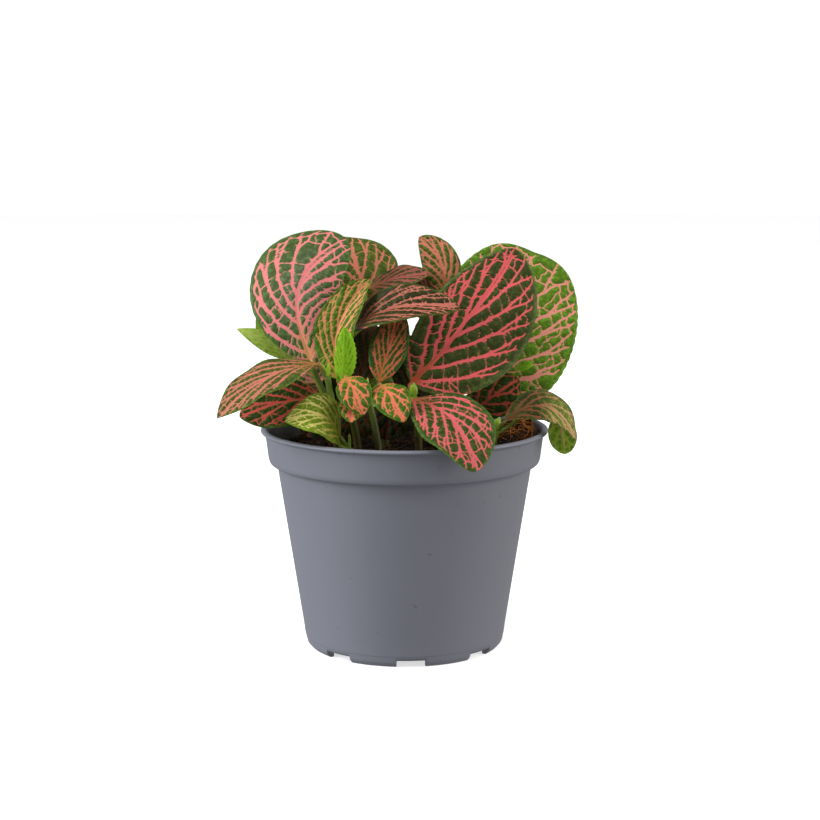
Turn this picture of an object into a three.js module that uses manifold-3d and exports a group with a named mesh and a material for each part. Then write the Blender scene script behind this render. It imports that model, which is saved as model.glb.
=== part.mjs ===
// A nerve plant in a plastic nursery pot: pot, soil and the leafy stems that stand in it.
// Millimetres, +Z up. The origin is on the pot's axis, on the surface that the pot stands on.
// -Y is the front.
import * as THREE from "three";
import { mergeVertices } from "three/addons/utils/BufferGeometryUtils.js";
import Module from "manifold-3d";

const wasm = await Module();
wasm.setup();

// Pot: a 120 mm nursery pot, 92 mm high
const potHeight = 92;
const rimRadius = 60;
const lipInnerRadius = 57.3;
const lipHeight = 1.7;
const bandTopRadius = 58.1;
const bandFootRadius = 56.7;
const bandFootHeight = 79.2;
const wallTopRadius = 53.05;
const wallTopHeight = 76;
const wallFootRadius = 41.2;
const footRadius = 39.8;
const footInnerRadius = 38.0;
const footChamferHeight = 1.8;
const wallThickness = 1.0;
const baseUnderside = 4.0;
const baseThickness = 1.2;
const potSides = 40;
const notchCount = 8;
const notchWidth = 12;
const notchHeight = 3;
const firstNotchDeg = -86;
const drainRadius = 4;
const drainRingRadius = 25;
const drainCount = 6;

// Soil: a block that stays clear of the pot, with a mounded, uneven top
const clearance = 0.3;
const soilHeight = 83;
const soilSides = 28;
const soilRings = 4;
const soilMound = 9.5;
const soilMoundAt = [46, 8];
const soilMoundReach = 22;
const soilBump = 0.9;

// Leafy stems
const stemRadius = 1.9;
const stemSides = 6;
const stemSteps = 5;
const stemDepth = 7;
const holeSides = 8;
const petioleRadius = 1.1;
const petioleSides = 5;
const petioleSteps = 4;
const petioleReach = 0.2;
const petioleSwing = 0.18;
const bladeThickness = 0.8;
const bladeColumns = 4;
const bigBladeRows = 9;
const smallBladeRows = 6;
const smallBladeWidth = 16;

// What a leaf has when its own entry doesn't say otherwise. arch and sway bow the midrib towards the
// upper face and to the right, in mm. fold is the angle at which the two halves rise, in degrees, and
// dome curves them back down. wave is the height of the wavy edge in mm, and waves how many there are.
// peak and full say where the outline is widest and how round it is. lean widens the right half.
const plainLeaf = {
  arch: 2, sway: 0, fold: 8, dome: 0.12, wave: 0.5, waves: 2.5, peak: 0.92, full: 0.62, lean: 0,
};

// Each stem leaves the soil at root (x, y) and ends at top. A leaf's petiole leaves the stem at the
// fraction `from` of its length, and the blade runs from base to tip with its upper side to face.
const leafyStems = [
  {
    name: "leafy_stem_left", root: [-27, -5], top: [-39, -5, 119],
    leaves: {
      big: {
        from: 0.97, base: [-37.7, -14, 121.8], tip: [-23.1, 4, 168.4], width: 36.8, face: [0, -1, 0.3],
        arch: 5, sway: -13, fold: 3, dome: 0.3, peak: 1.27, full: 0.48, lean: -0.17,
      },
      narrow: {
        from: 0.9, base: [-44, 4, 118.5], tip: [-70, 4, 132.5], width: 11, face: [-0.2, -0.6, 0.8],
        full: 0.9, wave: 0,
      },
      back: {
        from: 0.7, base: [-36, 1, 110], tip: [-49, 24, 121], width: 22, face: [-0.2, 0.1, 1], arch: 3,
      },
      low: {
        from: 0.6, base: [-38, -3, 105], tip: [-61, -6, 98], width: 20, face: [-0.2, 0.1, 1], arch: 4,
      },
      drooping: {
        from: 0.5, base: [-33, 1, 104], tip: [-41, -1, 88], width: 19, face: [-0.1, -1, 0.2], wave: 0.3,
      },
      inner: {
        from: 0.65, base: [-29, 6, 101], tip: [-25, 6, 121], width: 14, face: [0, -1, 0.1], wave: 0.3,
      },
    },
  },
  {
    name: "leafy_stem_left_front", root: [-27, -25], top: [-31, -23, 116],
    leaves: {
      upper: {
        from: 0.98, base: [-36, -24, 121], tip: [-73, -48, 103], width: 20, face: [-0.1, -0.5, 0.85],
        arch: 6, fold: 10, wave: 0.6,
      },
      lower: {
        from: 0.8, base: [-34, -27, 109], tip: [-66, -30, 101], width: 22, face: [-0.1, -0.8, 0.6],
        arch: 2, fold: 6,
      },
    },
  },
  {
    name: "leafy_stem_pale", root: [-21, -36], top: [-22, -35.5, 89],
    leaves: {
      only: {
        from: 0.98, base: [-26, -34.5, 91], tip: [-47, -41, 101], width: 24, face: [0.1, -0.6, 0.8],
        arch: 10, fold: 12, wave: 0.4,
      },
    },
  },
  {
    name: "leafy_stem_young", root: [-19, -17], top: [-25, -24, 113],
    leaves: {
      unopened: {
        from: 0.98, base: [-25, -28, 113.8], tip: [-24, -28, 136.6], width: 11, face: [0.5, -1, 0.1],
        arch: 0.5, fold: 28, wave: 0,
      },
      tall: {
        from: 0.93, base: [-27, -19.5, 115], tip: [-13.6, -12, 154], width: 20, face: [-0.5, -1, 0.2],
        sway: -6, fold: 26,
      },
      inner: { from: 0.8, base: [-18, -12, 112], tip: [-12, -3, 135], width: 16, face: [0, -1, 0.3] },
      drooping: {
        from: 0.72, base: [-18, -11, 101], tip: [-21, -11, 87.5], width: 13, face: [0.1, -1, 0.2], wave: 0.3,
      },
    },
  },
  {
    name: "leafy_stem_middle", root: [-8, 2], top: [-15, 6, 138],
    leaves: {
      upper: {
        from: 0.99, base: [-16, 14, 142], tip: [-28, 26, 169.7], width: 33, face: [0.2, -1, 0.35], sway: 2,
        peak: 0.81, full: 1, lean: 0.04,
      },
      arching: {
        from: 0.98, base: [-14, 12, 149], tip: [10, 3, 155], width: 16, face: [0.2, -0.6, 0.8], arch: 2,
        wave: 0.3,
      },
      front: {
        from: 0.95, base: [-20.5, -9, 134], tip: [22, -25, 143.5], width: 21, face: [-0.1, -0.7, 0.7],
        arch: 8, fold: 22, wave: 0.3,
      },
      back: {
        from: 0.7, base: [-10, 12, 118], tip: [-1, 42, 122], width: 24, face: [0.2, 0.1, 1], arch: 4,
      },
      low: {
        from: 0.4, base: [0, 0, 107], tip: [18, -10, 103], width: 20, face: [0.1, -0.1, 1], arch: 3,
      },
      drooping: {
        from: 0.3, base: [-5, -4, 102], tip: [-8, -6, 87.5], width: 19, face: [0, -1, 0.2], wave: 0.3,
      },
    },
  },
  {
    name: "leafy_stem_front", root: [-10, -33], top: [-15, -31, 111],
    leaves: {
      upright: {
        from: 0.9, base: [-10, -24, 114], tip: [-1.6, -12, 142], width: 16, face: [-0.2, -1, 0.3], arch: 1,
        wave: 0.3,
      },
      left: {
        from: 0.98, base: [-23, -33, 117], tip: [-16, -46, 104], width: 14, face: [0, -0.8, 0.6],
        arch: 3, wave: 0.3,
      },
      low: {
        from: 0.85, base: [-20, -34, 109], tip: [-21, -46, 101], width: 12, face: [0, -0.8, 0.6],
        arch: 2, wave: 0.3,
      },
      right: {
        from: 0.97, base: [-9, -35, 114], tip: [0, -51, 102], width: 15, face: [0, -0.8, 0.6], arch: 3,
        wave: 0.3,
      },
    },
  },
  {
    name: "leafy_stem_right_front", root: [6, -22], top: [4, -24, 108],
    leaves: {
      big: {
        from: 0.98, base: [3, -20, 113], tip: [46.5, 0, 165.5], width: 43, face: [0, -1, 0.25], arch: 2,
        sway: 2, fold: 5, dome: 0.06, peak: 0.9, full: 0.56, lean: 0.22,
      },
      hanging: {
        from: 0.97, base: [3, -32, 108], tip: [27, -65, 85], width: 31, face: [0.1, -0.6, 0.8], arch: 6,
        sway: -4, peak: 1.05,
      },
      drooping: {
        from: 0.5, base: [9, -12, 101], tip: [14, -14, 88], width: 16, face: [0.1, -1, 0.2], wave: 0.3,
      },
    },
  },
  {
    name: "leafy_stem_right_back", root: [22, 2], top: [27, 6, 104],
    leaves: {
      big: {
        from: 0.98, base: [29.1, 13, 106], tip: [54.8, 28, 163], width: 62.2, face: [0, -1, 0.2], arch: 2,
        sway: 0.3, fold: 8, dome: 0.15, peak: 0.78, full: 0.31, lean: 0.04,
      },
      low: {
        from: 0.9, base: [28.5, -4, 100], tip: [47.5, -3, 112], width: 19.5, face: [0.3, -1, 0.4], wave: 0.3,
      },
      tiny: {
        from: 0.97, base: [46, -4, 117], tip: [53, -7, 119], width: 5, face: [0, -0.8, 0.6], arch: 0.5,
        wave: 0,
      },
      back: {
        from: 0.95, base: [28, 17, 106], tip: [25, 42, 116], width: 24, face: [0, 0.2, 1], arch: 4,
      },
    },
  },
  {
    name: "leafy_stem_top", root: [10, 10], top: [14, 9, 140],
    leaves: {
      upper: {
        from: 0.99, base: [17, 8, 146], tip: [6, 12, 170], width: 16, face: [-0.2, -1, 0.25], arch: 1,
        sway: 4, wave: 0.3,
      },
      back: {
        from: 0.93, base: [5, 17, 138.5], tip: [-3, 38, 144], width: 20, face: [0, -0.2, 1], arch: 3,
      },
      side: {
        from: 0.97, base: [13, 14, 143], tip: [-1, 17, 156], width: 13, face: [-0.2, -1, 0.3], wave: 0.3,
      },
      inner: {
        from: 0.4, base: [4.5, 8.5, 100], tip: [1.5, 9.5, 129.5], width: 17, face: [0, -1, 0.1],
        wave: 0.3,
      },
      low: {
        from: 0.4, base: [12, 19, 107], tip: [16, 42, 101], width: 22, face: [0.1, 0.2, 1], arch: 4,
      },
    },
  },
  {
    name: "leafy_stem_right_low", root: [36, -22], top: [37, -23, 94],
    leaves: {
      arching: {
        from: 0.98, base: [41, -24, 98.2], tip: [69.5, -21, 89.6], width: 14.8, face: [0.2, -0.75, 0.6],
        arch: 3.8, sway: -9.8, peak: 0.93,
      },
      hanging: {
        from: 0.9, base: [63.2, -14, 100], tip: [66.2, -15, 83], width: 12, face: [0.2, 1, 0.1], arch: 0,
        peak: 1.1, full: 0.5, wave: 0.2,
      },
    },
  },
  {
    name: "leafy_stem_back_left", root: [-30, 22], top: [-37, 28, 112],
    leaves: {
      upper: { from: 0.98, base: [-39, 33, 117], tip: [-55, 50, 148], width: 38, face: [-0.5, 1, 0.35] },
      outer: {
        from: 0.85, base: [-44, 26, 107], tip: [-66, 36, 98], width: 22, face: [-0.3, 0.3, 0.9], arch: 5,
      },
      inner: { from: 0.95, base: [-30, 32, 120], tip: [-22, 40, 150], width: 30, face: [0.1, 1, 0.3] },
      low: {
        from: 0.5, base: [-34, 34, 101], tip: [-41, 57, 94], width: 24, face: [-0.1, 0.5, 0.9], arch: 5,
      },
    },
  },
  {
    name: "leafy_stem_back", root: [-4, 38], top: [-4, 42, 108],
    leaves: {
      hanging: {
        from: 0.95, base: [-5, 48, 106], tip: [-8, 66, 87], width: 28, face: [0, 0.6, 0.8], arch: 6,
      },
      right: { from: 0.98, base: [12, 46, 112], tip: [25, 58, 133], width: 25, face: [0.2, 1, 0.4] },
      left: { from: 0.9, base: [-11, 46, 112], tip: [-26, 57, 126], width: 22, face: [-0.2, 1, 0.6] },
      low: {
        from: 0.6, base: [5, 45, 101], tip: [25, 61, 95], width: 22, face: [0.2, 0.4, 0.9], arch: 5,
      },
    },
  },
  {
    name: "leafy_stem_back_right", root: [30, 28], top: [36, 32, 110],
    leaves: {
      upper: { from: 0.98, base: [38, 39, 115], tip: [48, 57, 150], width: 40, face: [0.4, 1, 0.3] },
      outer: {
        from: 0.85, base: [43, 32, 106], tip: [58, 46, 97], width: 22, face: [0.3, 0.3, 0.9], arch: 5,
      },
      low: { from: 0.7, base: [42, 26, 103], tip: [64, 21, 98], width: 18, face: [0.3, 0, 0.9], arch: 4 },
    },
  },
];

// A point of a quadratic curve with its unit tangent
function bend(start, control, end, s) {
  const point = new THREE.Vector3()
    .addScaledVector(start, (1 - s) ** 2)
    .addScaledVector(control, 2 * s * (1 - s))
    .addScaledVector(end, s * s);
  const tangent = new THREE.Vector3()
    .addScaledVector(start, 2 * s - 2)
    .addScaledVector(control, 2 - 4 * s)
    .addScaledVector(end, 2 * s)
    .normalize();
  return { point, tangent };
}

// The leaf's own axes: along from base to tip, up out of the upper face, and across to its right
function leafAxes(leaf) {
  const base = new THREE.Vector3(...leaf.base);
  const tip = new THREE.Vector3(...leaf.tip);
  const along = tip.clone().sub(base).normalize();
  const up = new THREE.Vector3(...leaf.face).projectOnPlane(along).normalize();
  const across = along.clone().cross(up);
  const control = base.clone().add(tip).multiplyScalar(0.5);
  control.addScaledVector(up, 2 * leaf.arch).addScaledVector(across, 2 * leaf.sway);
  return { base, tip, along, up, across, control };
}

// A point of the leaf's surface, s from base to tip and t from the left edge (-1) to the right one (1).
// The tip's place sets where the wave starts, so no two leaves wave alike.
function leafPoint(leaf, axes, s, t) {
  const { point, tangent } = bend(axes.base, axes.control, axes.tip, s);
  const side = axes.across.clone().projectOnPlane(tangent).normalize();
  const normal = side.clone().cross(tangent);
  const halfWidth = leaf.width / 2 * Math.max(Math.sin(Math.PI * s ** leaf.peak), 0) ** leaf.full;
  const out = t * halfWidth * (1 + leaf.lean * Math.sign(t));
  const fold = THREE.MathUtils.degToRad(leaf.fold);
  const phase = leaf.tip[0] + (t < 0 ? 2 : 0);
  const rise = Math.abs(out) * Math.sin(fold) - leaf.dome * out * out / (leaf.width / 2)
    + leaf.wave * Math.sin(2 * Math.PI * leaf.waves * s + phase) * t * t;
  point.addScaledVector(side, out * Math.cos(fold)).addScaledVector(normal, rise);
  return { point, normal };
}

function solidFrom(positions, indices) {
  const mesh = new wasm.Mesh({
    numProp: 3, vertProperties: Float32Array.from(positions), triVerts: Uint32Array.from(indices),
  });
  return new wasm.Manifold(mesh);
}

// A three.js geometry as a solid: its shared vertices merged and its empty triangles left out
function solidOf(geometry) {
  const bare = geometry.clone();
  bare.deleteAttribute("normal");
  bare.deleteAttribute("uv");
  const merged = mergeVertices(bare, 1e-4);
  const indices = [];
  for (let i = 0; i < merged.index.count; i += 3) {
    const [a, b, c] = [0, 1, 2].map((k) => merged.index.getX(i + k));
    if (a !== b && b !== c && c !== a) indices.push(a, b, c);
  }
  return solidFrom(merged.attributes.position.array, indices);
}

function geometryOf(solid) {
  const { vertProperties, triVerts } = solid.getMesh();
  const geometry = new THREE.BufferGeometry();
  geometry.setAttribute("position", new THREE.BufferAttribute(vertProperties, 3));
  geometry.setIndex(new THREE.BufferAttribute(triVerts, 1));
  return geometry;
}

// A blade: the same grid of triangles on both faces, one thickness apart, closed round its edge
function blade(leaf) {
  const axes = leafAxes(leaf);
  const rows = leaf.width < smallBladeWidth ? smallBladeRows : bigBladeRows;
  const columns = bladeColumns;
  const positions = [];
  const put = (s, t, depth) => {
    const { point, normal } = leafPoint(leaf, axes, s, t);
    point.addScaledVector(normal, depth);
    positions.push(point.x, point.y, point.z);
    return positions.length / 3 - 1;
  };
  const face = (depth) => {
    const grid = [];
    for (let row = 0; row <= rows; row += 1) {
      const s = (1 - Math.cos(Math.PI * row / rows)) / 2;
      const pole = row === 0 || row === rows;
      const only = pole ? put(s, 0, depth) : -1;
      const line = [];
      for (let column = 0; column <= columns; column += 1) {
        line.push(pole ? only : put(s, 2 * column / columns - 1, depth));
      }
      grid.push(line);
    }
    return grid;
  };
  const upper = face(bladeThickness / 2);
  const lower = face(-bladeThickness / 2);
  const indices = [];
  const triangle = (a, b, c) => {
    if (a !== b && b !== c && c !== a) indices.push(a, b, c);
  };
  for (let row = 0; row < rows; row += 1) {
    for (let column = 0; column < columns; column += 1) {
      const corners = (grid) => [
        grid[row][column], grid[row][column + 1], grid[row + 1][column + 1], grid[row + 1][column],
      ];
      const [a, b, c, d] = corners(upper);
      triangle(a, b, c);
      triangle(a, c, d);
      const [e, f, g, h] = corners(lower);
      triangle(e, g, f);
      triangle(e, h, g);
    }
    triangle(upper[row][0], upper[row + 1][0], lower[row + 1][0]);
    triangle(upper[row][0], lower[row + 1][0], lower[row][0]);
    triangle(upper[row + 1][columns], upper[row][columns], lower[row][columns]);
    triangle(upper[row + 1][columns], lower[row][columns], lower[row + 1][columns]);
  }
  return solidFrom(positions, indices);
}

// A round rod along a curve
function rod(curve, radius, sides, steps) {
  const section = new THREE.Shape();
  for (let i = 0; i < sides; i += 1) {
    const angle = 2 * Math.PI * i / sides;
    const [x, y] = [radius * Math.cos(angle), radius * Math.sin(angle)];
    if (i === 0) section.moveTo(x, y);
    else section.lineTo(x, y);
  }
  return solidOf(new THREE.ExtrudeGeometry(section, { steps, extrudePath: curve, bevelEnabled: false }));
}

const soilTop = (x, y) => {
  const away = Math.hypot(x - soilMoundAt[0], y - soilMoundAt[1]) / soilMoundReach;
  return soilHeight + soilMound * Math.exp(-away * away)
    + soilBump * Math.sin(x / 6 + 1) * Math.cos(y / 5);
};

function stemPath(stem) {
  const [x, y] = stem.root;
  const ground = soilTop(x, y);
  return new THREE.CatmullRomCurve3([
    new THREE.Vector3(x, y, ground - stemDepth),
    new THREE.Vector3(x, y, ground + 2),
    new THREE.Vector3(...stem.top).lerp(new THREE.Vector3(x, y, ground + 2), 0.5)
      .add(new THREE.Vector3((x - stem.top[0]) / 8, (y - stem.top[1]) / 8, 0)),
    new THREE.Vector3(...stem.top),
  ]);
}

// A petiole leaves the stem, bends into the leaf's base and runs on under the midrib
function petiole(leaf, start) {
  const axes = leafAxes(leaf);
  const gap = start.distanceTo(axes.base);
  const intoLeaf = bend(axes.base, axes.control, axes.tip, 0).tangent;
  const points = [start, axes.base.clone().addScaledVector(intoLeaf, -gap * petioleSwing)];
  [0.02, petioleReach / 2, petioleReach].forEach((s) => {
    const { point, normal } = leafPoint(leaf, axes, s, 0);
    points.push(point.addScaledVector(normal, -petioleRadius * 0.6));
  });
  return rod(new THREE.CatmullRomCurve3(points), petioleRadius, petioleSides, petioleSteps);
}

function leafyStem(stem) {
  const path = stemPath(stem);
  let solid = rod(path, stemRadius, stemSides, stemSteps);
  Object.values(stem.leaves).forEach((own) => {
    const leaf = { ...plainLeaf, ...own };
    solid = solid.add(petiole(leaf, path.getPointAt(leaf.from))).add(blade(leaf));
  });
  return solid;
}

// Radius of the tapered wall's outside at a height
const wallRadius = (z) => wallFootRadius + (wallTopRadius - wallFootRadius) * z / wallTopHeight;

function lathe(profile, sides) {
  const points = profile.map(([r, z]) => new THREE.Vector2(r, z));
  return solidOf(new THREE.LatheGeometry(points, sides).rotateX(Math.PI / 2));
}

function pot() {
  const baseTop = baseUnderside + baseThickness;
  const bandTop = potHeight - lipHeight;
  const profile = [
    [0, baseUnderside],
    [footInnerRadius, baseUnderside],
    [footInnerRadius, 0],
    [footRadius, 0],
    [wallRadius(footChamferHeight), footChamferHeight],
    [wallTopRadius, wallTopHeight],
    [wallTopRadius + 0.6, wallTopHeight + 1.3],
    [bandFootRadius - 0.7, bandFootHeight - 1.6],
    [bandFootRadius, bandFootHeight],
    [bandTopRadius, bandTop],
    [rimRadius - 0.5, bandTop + 0.1],
    [rimRadius, bandTop + 0.7],
    [rimRadius - 0.3, potHeight - 0.3],
    [rimRadius - 1, potHeight],
    [lipInnerRadius + 0.5, potHeight],
    [lipInnerRadius, potHeight - 0.6],
    [bandTopRadius - wallThickness - 0.2, bandTop - 0.6],
    [bandFootRadius - wallThickness, bandFootHeight + 1],
    [bandFootRadius - wallThickness - 0.9, bandFootHeight - 0.3],
    [wallTopRadius - 0.35, wallTopHeight + 2.3],
    [wallTopRadius - wallThickness, wallTopHeight + 0.8],
    [wallRadius(baseTop + 1) - wallThickness, baseTop + 1],
    [wallRadius(baseTop) - wallThickness - 1, baseTop],
    [0, baseTop],
  ];
  let solid = lathe(profile, potSides);
  for (let i = 0; i < notchCount; i += 1) {
    const notch = new THREE.BoxGeometry(8, notchWidth, 2 * notchHeight).translate(footRadius, 0, 0);
    notch.rotateZ(THREE.MathUtils.degToRad(firstNotchDeg) + 2 * Math.PI * i / notchCount);
    solid = solid.subtract(solidOf(notch));
  }
  for (let i = 0; i < drainCount; i += 1) {
    const drain = new THREE.CylinderGeometry(drainRadius, drainRadius, 4 * baseThickness, 12)
      .rotateX(Math.PI / 2)
      .translate(drainRingRadius, 0, baseUnderside);
    drain.rotateZ(2 * Math.PI * i / drainCount);
    solid = solid.subtract(solidOf(drain));
  }
  return solid;
}

function soil() {
  const floor = baseUnderside + baseThickness + clearance;
  const inset = wallThickness + clearance;
  const edgeRadius = bandFootRadius - inset + 0.2;
  const profile = [
    [0, floor],
    [wallRadius(floor) - inset - 1, floor],
    [wallRadius(floor + 1.2) - inset, floor + 1.2],
    [wallTopRadius - inset, wallTopHeight + 0.6],
    [wallTopRadius - inset + 0.45, wallTopHeight + 2.7],
    [edgeRadius - 1.1, bandFootHeight + 0.1],
    [edgeRadius - 0.2, bandFootHeight + 1.5],
  ];
  for (let ring = 0; ring <= soilRings; ring += 1) {
    profile.push([edgeRadius * (1 - ring / soilRings), soilHeight]);
  }
  const points = profile.map(([r, z]) => new THREE.Vector2(r, z));
  const geometry = new THREE.LatheGeometry(points, soilSides).rotateX(Math.PI / 2);
  const position = geometry.attributes.position;
  for (let i = 0; i < position.count; i += 1) {
    const [x, y] = [position.getX(i), position.getY(i)];
    if (position.getZ(i) > soilHeight - 0.01) position.setZ(i, soilTop(x, y));
  }
  let solid = solidOf(geometry);
  leafyStems.forEach(({ root: [x, y] }) => {
    const depth = stemDepth + clearance;
    const radius = stemRadius + clearance;
    const hole = new THREE.CylinderGeometry(radius, radius, 2 * depth, holeSides)
      .rotateX(Math.PI / 2)
      .translate(x, y, soilTop(x, y));
    solid = solid.subtract(solidOf(hole));
  });
  return solid;
}

const materials = {
  pot: new THREE.MeshStandardMaterial({ color: 0x7a808c, roughness: 0.5, metalness: 0 }),
  soil: new THREE.MeshStandardMaterial({ color: 0x4a2c18, roughness: 1, metalness: 0 }),
  leaf: new THREE.MeshStandardMaterial({ color: 0x3c6428, roughness: 0.55, metalness: 0 }),
};

const plant = new THREE.Group();

function place(name, solid, material) {
  const mesh = new THREE.Mesh(geometryOf(solid), material);
  mesh.name = name;
  plant.add(mesh);
}

place("pot", pot(), materials.pot);
place("soil", soil(), materials.soil);
leafyStems.forEach((stem) => place(stem.name, leafyStem(stem), materials.leaf));

export default plant;
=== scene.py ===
# A nerve plant in a plastic nursery pot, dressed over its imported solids.
# Sizes in the settings are millimetres, and meshes are made in metres. The front is -Y.
import math
from types import SimpleNamespace
import bpy
import numpy as np
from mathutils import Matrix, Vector


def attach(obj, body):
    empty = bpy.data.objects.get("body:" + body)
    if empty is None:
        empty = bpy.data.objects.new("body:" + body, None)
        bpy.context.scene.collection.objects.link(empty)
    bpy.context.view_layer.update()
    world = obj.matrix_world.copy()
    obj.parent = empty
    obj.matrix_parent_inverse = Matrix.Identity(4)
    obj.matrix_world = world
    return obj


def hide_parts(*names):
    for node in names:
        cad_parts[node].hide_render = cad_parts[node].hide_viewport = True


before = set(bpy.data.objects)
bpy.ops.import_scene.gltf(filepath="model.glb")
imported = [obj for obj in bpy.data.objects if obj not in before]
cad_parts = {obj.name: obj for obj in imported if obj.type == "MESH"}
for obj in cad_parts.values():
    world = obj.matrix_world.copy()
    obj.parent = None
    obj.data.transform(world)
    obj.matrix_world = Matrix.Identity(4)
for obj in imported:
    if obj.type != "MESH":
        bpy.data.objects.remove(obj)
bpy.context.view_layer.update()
print("Loaded the frame:", len(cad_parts), "nodes")

mm = 0.001
join = np.concatenate


def unit(vector):
    return vector / np.maximum(np.linalg.norm(vector, axis=-1, keepdims=True), 1e-9)


# A screen's 0 to 255 turned into the linear colour that a shader reads
def colour(red, green, blue):
    return ((np.array((red, green, blue)) / 255 + 0.055) / 1.055) ** 2.4


# 0 below low, 1 above high and 3x^2 - 2x^3 between them
def smoothStep(value, low, high):
    x = np.clip((value - low) / (high - low), 0, 1)
    return x * x * (3 - 2 * x)


# exp(-(x / reach)^2)
def bell(x, reach):
    return np.exp(-(x / reach) ** 2)


# first where share is 0 and second where it is 1
def mixed(first, second, share):
    return first + (second - first) * share


# (1 - u)^2 * first + 2 u (1 - u) * middle + u^2 * last
def quadratic(first, middle, last, u):
    return (1 - u) ** 2 * first + 2 * u * (1 - u) * middle + u ** 2 * last


def circle(count):
    return 2 * math.pi * np.arange(count) / count  # Even angles


def chords(points):
    return np.linalg.norm(np.diff(points, axis=0), axis=1)


# How far along a path each of its points lies
def pathRun(path):
    return join([[0], np.cumsum(chords(path))])


# A cubic through all the points: a knot's time is the sum of the roots of the chords before it, its slope
# comes from its two neighbours, and Hermite's formula fills the stretches between knots
def smoothPath(points, count):
    points = np.asarray(points, float)
    knots = join([[0], np.cumsum(np.sqrt(chords(points)))])
    slopes = np.gradient(points, knots, axis=0)
    times = np.linspace(0, knots[-1], count)
    place = np.clip(np.searchsorted(knots, times, side="right") - 1, 0, len(knots) - 2)
    span = (knots[place + 1] - knots[place])[:, None]
    x = (times - knots[place])[:, None] / span
    return ((2 * x**3 - 3 * x**2 + 1) * points[place] + (x**3 - 2 * x**2 + x) * span * slopes[place]
            + (3 * x**2 - 2 * x**3) * points[place + 1] + (x**3 - x**2) * span * slopes[place + 1])


# Two triangles for each cell of a grid of points. Along a row crossed with from row to row points outwards
def gridFaces(index):
    a, b, c, d = index[:-1, :-1], index[:-1, 1:], index[1:, 1:], index[1:, :-1]
    return join([np.stack([a, b, c], -1).reshape(-1, 3), np.stack([a, c, d], -1).reshape(-1, 3)])


# Joins a grid's last row to its first and its last column to its first
def closedIndex(rows, columns):
    index = np.arange(rows * columns).reshape(rows, columns)
    index = join([index, index[:, :1]], 1)
    return join([index, index[:1]])


# An upper and a lower grid with a wall along each of their four edges
def shellFaces(rows, columns):
    upper = np.arange(rows * columns).reshape(rows, columns)
    lower = upper + rows * columns
    faces = [gridFaces(upper), gridFaces(lower)[:, ::-1]]
    for above, below in ((upper[:, 0], lower[:, 0]), (upper[::-1, -1], lower[::-1, -1]),
                         (upper[0, ::-1], lower[0, ::-1]), (upper[-1], lower[-1])):
        faces.append(gridFaces(np.stack([above, below]))[:, ::-1])
    return join(faces)


# Points that round to the same place become one, and faces with two corners alike go
def welded(points, faces):
    first, place = np.unique(np.round(points, 4), axis=0, return_index=True, return_inverse=True)[1:]
    faces = place.reshape(-1)[faces]
    whole = (faces != np.roll(faces, -1, 1)).all(1)
    return points[first], faces[whole]


# Rings square to a path: radius * (cos a * side + sin a * lift) at each of its points. side lies across
# the plane in which the path bends, and one more point closes each end
def tube(path, radius, sides):
    tangent = unit(np.gradient(path, axis=0))
    reach = path[-1] - path[0]
    bend = np.cross(path[len(path) // 2] - path[0], reach)
    if np.linalg.norm(bend) < 0.002 * reach @ reach:  # As good as straight
        bend = np.cross(reach, (0.3, 1, 0.2))
    side = unit(np.cross(tangent, unit(bend)))
    lift = np.cross(tangent, side)
    angle = circle(sides)[:, None]
    ring = np.cos(angle) * side[:, None] + np.sin(angle) * lift[:, None]
    points = (path[:, None] + np.asarray(radius)[:, None, None] * ring).reshape(-1, 3)
    index = closedIndex(len(path), sides)[:-1]
    first, last = np.full(sides, len(points)), np.full(sides, len(points) + 1)
    faces = [gridFaces(index), np.stack([index[0, 1:], index[0, :-1], first], -1),
             np.stack([index[-1, :-1], index[-1, 1:], last], -1)]
    along = join([np.repeat(np.linspace(0, 1, len(path)), sides), [0, 1]])
    return join([points, path[:1], path[-1:]]), join(faces), along


# Gathers meshes, each with its finish and its points' values, and makes one object of them
class Heap:
    def __init__(self):
        self.points, self.faces, self.finishes, self.values, self.count = [], [], [], {}, 0

    def put(self, points, faces, finish=0, **values):
        points, faces = points.reshape(-1, 3), faces.reshape(-1, 3)
        self.points.append(points)
        self.faces.append(faces + self.count)
        self.finishes.append(np.full(len(faces), finish))
        for key, value in values.items():
            value = np.asarray(value, float)
            if value.ndim == 0 or len(value) != len(points):  # One value for all the points
                value = np.repeat(value[None], len(points), 0)
            self.values.setdefault(key, []).append(value)
        self.count += len(points)

    def make(self, name, *finishes):
        points, faces = join(self.points) * mm, join(self.faces)
        mesh = bpy.data.meshes.new(name)
        mesh.vertices.add(len(points))
        mesh.vertices.foreach_set("co", points.ravel())
        mesh.loops.add(faces.size)
        mesh.loops.foreach_set("vertex_index", faces.ravel().astype(np.int32))
        mesh.polygons.add(len(faces))
        mesh.polygons.foreach_set("loop_start", np.arange(0, faces.size, 3, dtype=np.int32))
        mesh.polygons.foreach_set("material_index", join(self.finishes).astype(np.int32))
        mesh.polygons.foreach_set("use_smooth", np.ones(len(faces), bool))
        for finish in finishes:
            mesh.materials.append(finish)
        for key, value in self.values.items():
            value = join(value)
            kind, field = ("FLOAT", "value") if value.ndim == 1 else ("FLOAT_VECTOR", "vector")
            mesh.attributes.new(key, kind, "POINT").data.foreach_set(field, value.ravel())
        mesh.update(calc_edges=True)
        piece = bpy.data.objects.new(name, mesh)
        bpy.context.scene.collection.objects.link(piece)
        print("Made", name, "with", len(faces), "triangles")
        return piece


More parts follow.
